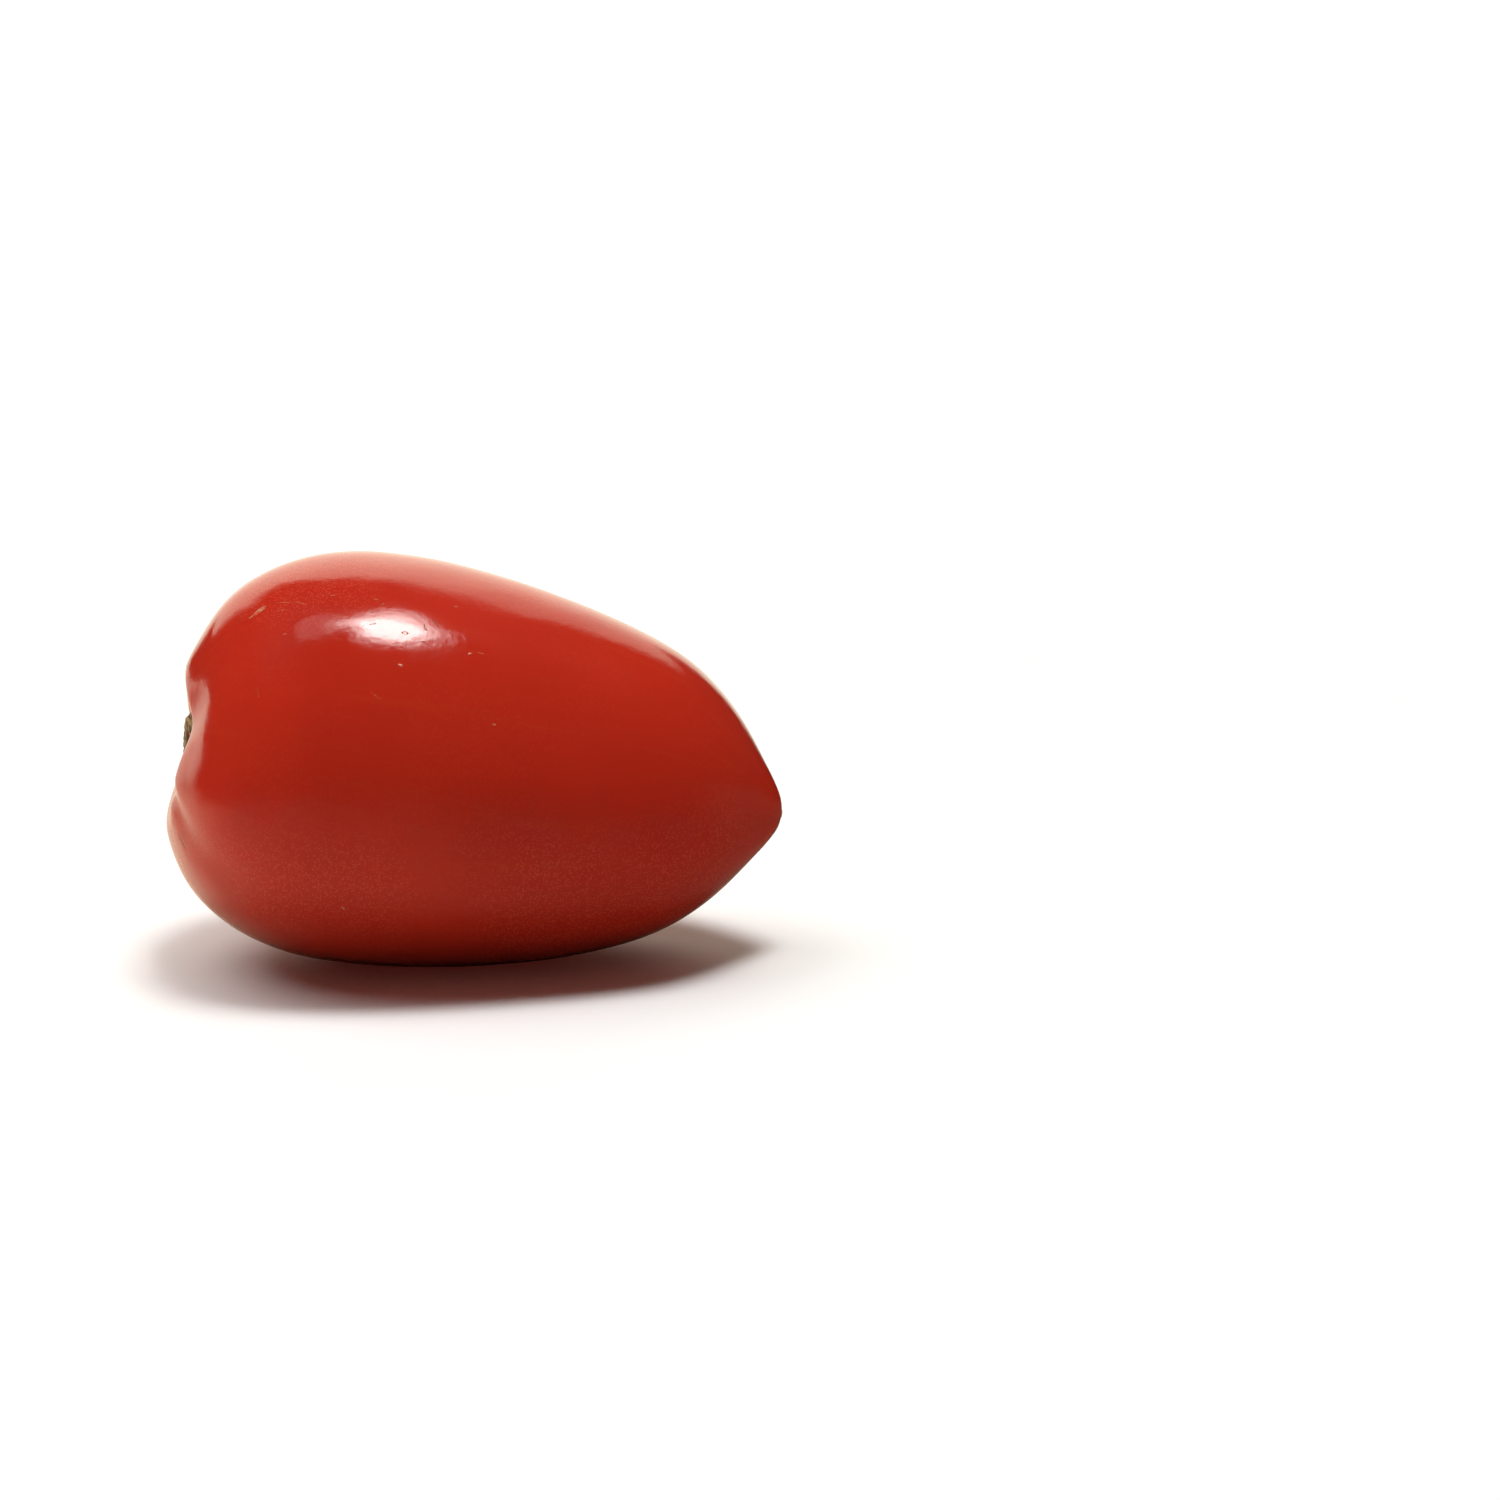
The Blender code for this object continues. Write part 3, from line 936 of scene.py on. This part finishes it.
def reflected_table(wiring, x, y):
    """How bright the fruit's gloss shows the table: most round the fruit, least in front and at the right."""
    in_front = wiring.math("MINIMUM", y, 0.0)
    front = wiring.math("EXPONENT", wiring.math("DIVIDE", in_front, GLOSS_FADE))
    right = wiring.between(x, *GLOSS_RIGHT)
    further_back = wiring.math("MAXIMUM", wiring.math("SUBTRACT", y, GLOSS_SLANT_START), 0.0)
    slanted = wiring.math("ADD", x, wiring.product(further_back, GLOSS_SLANT))
    left = wiring.between(slanted, *GLOSS_LEFT)
    return wiring.product(front, right, left, GLOSS_SHADE)


def table_shade(wiring, x, y, beside, seen, glossy):
    """How white the table near the fruit is, for the light it passes on, the camera and the fruit's gloss."""
    towards_stem_end = wiring.between(x, *PASSED_ON_STEM_END)
    passed_on = wiring.product(wiring.between(beside, *PASSED_ON_SHADE), towards_stem_end)
    reflected = wiring.mix(1.0, reflected_table(wiring, x, y), WARM_TABLE, "MULTIPLY")
    return wiring.mix(glossy, wiring.mix(seen, passed_on, COOL_TABLE), reflected)


def grey(value):
    """The colour with this value in all three parts."""
    return (value, value, value, 1.0)


def far_table(wiring, x, y, seen, glossy):
    """The glow of the table further off, which the fruit's gloss shows only behind the fruit."""
    sideways = wiring.math("ARCTAN2", x, y)
    right_of_left = wiring.between(sideways, *GLOSS_GLOW_LEFT)
    left_of_right = wiring.between(sideways, *GLOSS_GLOW_RIGHT)
    behind = wiring.product(right_of_left, left_of_right)
    strength = wiring.mix(seen, grey(PASSED_ON_GLOW), grey(SEEN_GLOW))
    strength = wiring.mix(glossy, strength, wiring.product(behind, REFLECTED_GLOW))
    tint = wiring.mix(seen, WARM_BACKDROP, WHITE)
    return wiring.add("Emission", {"Color": tint, "Strength": strength}).outputs[0]


def how_far(wiring, spot, y, beside, seen, glossy):
    """The share of the far table's glow: 0 near the fruit and 1 far off, further off still for the camera."""
    passed_on = wiring.between(beside, *GLOW_PASSED_ON)
    far = wiring.mix(seen, passed_on, wiring.between(wiring.length(spot), *GLOW_SEEN))
    return wiring.mix(glossy, far, wiring.between(y, *GLOW_REFLECTED))


def table_material():
    """White. The fruit's gloss shows it dimmer in front and as bright as the backdrop behind. Far away it
    glows, to look as white as the room, and near the fruit a faint red glow is painted on, for the light that
    the fruit's flesh passes on to it. The light that it passes on to the fruit has a shade and a glow of its
    own."""
    material, wiring = new_material("white_table")
    spot = wiring.add("TexCoord").outputs["Object"]
    x, y, _ = wiring.add("SeparateXYZ", {0: spot}).outputs
    path = wiring.add("LightPath")
    seen, glossy = path.outputs["Is Camera Ray"], path.outputs["Is Glossy Ray"]
    beside = wiring.length(wiring.stretched(spot, BESIDE_STRETCH))
    shade = table_shade(wiring, x, y, beside, seen, glossy)
    near = wiring.add("BsdfDiffuse", {"Color": shade}).outputs[0]
    glow = far_table(wiring, x, y, seen, glossy)
    share = how_far(wiring, spot, y, beside, seen, glossy)
    both = wiring.add("MixShader", {0: share, 1: near, 2: glow}).outputs[0]
    # painted red glow: the table near the fruit glows faintly red for the camera, for the light that the
    # fruit's flesh passes on
    painted_red_glow = wiring.product(seen, wiring.between(beside, *PAINTED_RED_GLOW_REACH), PAINTED_RED_GLOW_STRENGTH)
    passed_on = wiring.add("Emission", {"Color": PAINTED_RED_GLOW, "Strength": painted_red_glow}).outputs[0]
    finish_material(wiring, wiring.add("AddShader", {0: both, 1: passed_on}))
    return material


def make_table(side):
    """A plain white table top, at the height that the fruit rests at."""
    half = side / 2
    mesh = bpy.data.meshes.new("table")
    corners = [(-half, -half, 0.0), (half, -half, 0.0), (half, half, 0.0), (-half, half, 0.0)]
    mesh.from_pydata(corners, [], [(0, 1, 2, 3)])
    mesh.materials.append(table_material())
    table = bpy.data.objects.new("table", mesh)
    table.location.z = -TABLE_DROP
    bpy.context.scene.collection.objects.link(table)


def soft_light(name, place, width, depth, turn, brightness):
    """An oval light that faces down, as bright as given wherever it is seen."""
    light = bpy.data.lights.new(name, "AREA")
    light.shape = "ELLIPSE"
    light.size = width
    light.size_y = depth
    light.energy = brightness * math.pi * (math.pi / 4 * width * depth)
    light.color = LAMP_COLOUR
    lamp = bpy.data.objects.new(name, light)
    lamp.location = place
    lamp.rotation_euler.z = math.radians(turn)
    bpy.context.scene.collection.objects.link(lamp)
    return lamp


def make_lights(studio):
    """The overhead light's parts, and the wider fills that soften the shadow's edge."""
    height = studio.overhead_height
    for number, (x, y, width, depth, turn, brightness) in enumerate(OVERHEAD_PARTS):
        place = (x, y, height + PART_STEP * number)
        soft_light(f"overhead_{number}", place, width, depth, turn, brightness * studio.overhead_light)
    for number, (x, y, brightness) in enumerate(FILL_PARTS):
        place, size = (x, y, height + FILL_RISE), studio.fill_size
        fill = soft_light(f"fill_{number}", place, size, size, 0.0, brightness * studio.fill_light)
        fill.visible_glossy = False


def backdrop_glow(wiring, sideways, z, brightness):
    """The backdrop's brightness, inside its soft edges: a screen with a slanting top, weaker at its right."""
    from_top = wiring.math("SUBTRACT", z, wiring.between(sideways, *BACKDROP_TOP))
    from_right = wiring.math("SUBTRACT", sideways, wiring.between(z, *BACKDROP_RIGHT))
    from_left = wiring.math("SUBTRACT", sideways, wiring.between(z, *BACKDROP_LEFT))
    below_top = wiring.between(from_top, BACKDROP_EDGE, -BACKDROP_EDGE)
    left_of_right = wiring.between(from_right, BACKDROP_EDGE, -BACKDROP_EDGE)
    right_of_left = wiring.between(from_left, -BACKDROP_EDGE, BACKDROP_EDGE)
    higher = wiring.product(wiring.between(z, *BACKDROP_RISE), brightness)
    weaker_right = wiring.between(sideways, *BACKDROP_FADE)
    return wiring.product(left_of_right, right_of_left, below_top, higher, weaker_right)


def make_room(studio):
    """White for the camera on every side. For the fruit, a bright backdrop behind it in a dark room."""
    world = bpy.data.worlds.new("room")
    world.use_nodes = True
    bpy.context.scene.world = world
    wiring = Wiring(world.node_tree)
    heading = wiring.add("TexCoord").outputs["Generated"]
    x, y, z = wiring.add("SeparateXYZ", {0: heading}).outputs
    backdrop = backdrop_glow(wiring, wiring.math("ARCTAN2", x, y), z, studio.backdrop_light)
    overhead = wiring.between(z, *CEILING_START)
    behind = wiring.between(y, *CEILING_BEHIND)
    ceiling = wiring.product(overhead, behind, studio.ceiling_light)
    path = wiring.add("LightPath")
    bounced = wiring.product(path.outputs["Is Diffuse Ray"], studio.bounced_light)
    room = wiring.math("ADD", bounced, studio.room_light)
    strength = wiring.math("ADD", wiring.math("ADD", backdrop, ceiling), room)
    lit = wiring.add("Background", {"Color": WARM_BACKDROP, "Strength": strength}).outputs[0]
    white = wiring.add("Background", {"Color": WHITE, "Strength": SEEN_GLOW}).outputs[0]
    both = wiring.add("MixShader", {0: path.outputs["Is Camera Ray"], 1: lit, 2: white})
    wiring.add("OutputWorld", {"Surface": both.outputs[0]})


def make_camera(studio):
    """The camera, a little above the table and turned towards the stem end."""
    low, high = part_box(SOLID)
    middle = (Vector(low) + Vector(high)) / 2
    turn, height = studio.camera_turn, studio.camera_height
    right = Vector((math.cos(turn), -math.sin(turn), 0.0))
    level = math.cos(height)
    forward = Vector((math.sin(turn) * level, math.cos(turn) * level, -math.sin(height)))
    up = right.cross(forward)
    camera = bpy.data.objects.new("camera", bpy.data.cameras.new("camera"))
    camera.data.lens = studio.lens
    camera.data.sensor_width = SENSOR_WIDTH
    camera.data.clip_start, camera.data.clip_end = SEEN_RANGE
    aim = middle + right * studio.aim_right + up * studio.aim_up
    camera.location = aim - forward * studio.camera_distance
    camera.rotation_euler = (math.pi / 2 - height, 0.0, -turn)
    bpy.context.scene.collection.objects.link(camera)
    bpy.context.scene.camera = camera


class TOMATO_OT_stage(Operator):
    """Makes the table, the lights and the camera"""

    bl_idname = "tomato.stage"
    bl_label = "Stage"

    def execute(self, context):
        studio = context.scene.tomato_studio
        make_table(studio.table_size)
        make_lights(studio)
        make_room(studio)
        make_camera(studio)
        context.scene.view_settings.view_transform = "Standard"
        return {"FINISHED"}


class TOMATO_PT_panel(Panel):
    """Lists the tomato's sizes, colours and steps"""

    bl_idname = "TOMATO_PT_panel"
    bl_label = "Roma Tomato"
    bl_space_type = "VIEW_3D"
    bl_region_type = "UI"
    bl_category = "Tomato"

    def draw(self, context):
        layout = self.layout
        for operator in OPERATORS:
            layout.operator(operator.bl_idname)
        for group_name, group in GROUPS.items():
            box = layout.box()
            box.label(text=group.__doc__)
            for name in group.__annotations__:
                box.prop(getattr(context.scene, group_name), name)


GROUPS = {"tomato_sizes": TomatoSizes, "tomato_colours": TomatoColours, "tomato_studio": TomatoStudio}
OPERATORS = (TOMATO_OT_skin, TOMATO_OT_scars, TOMATO_OT_stage)
CLASSES = (*GROUPS.values(), *OPERATORS, TOMATO_PT_panel)


def register():
    """Adds the panel, its steps and their settings to Blender."""
    for made in CLASSES:
        bpy.utils.register_class(made)
    for name, group in GROUPS.items():
        setattr(bpy.types.Scene, name, PointerProperty(type=group))


def unregister():
    """Takes them away again."""
    for name in GROUPS:
        delattr(bpy.types.Scene, name)
    for made in reversed(CLASSES):
        bpy.utils.unregister_class(made)


def main():
    """Dresses the fruit and sets it on its stage."""
    register()
    bpy.ops.tomato.skin()
    bpy.ops.tomato.scars()
    bpy.ops.tomato.stage()


if __name__ == "__main__":
    main()
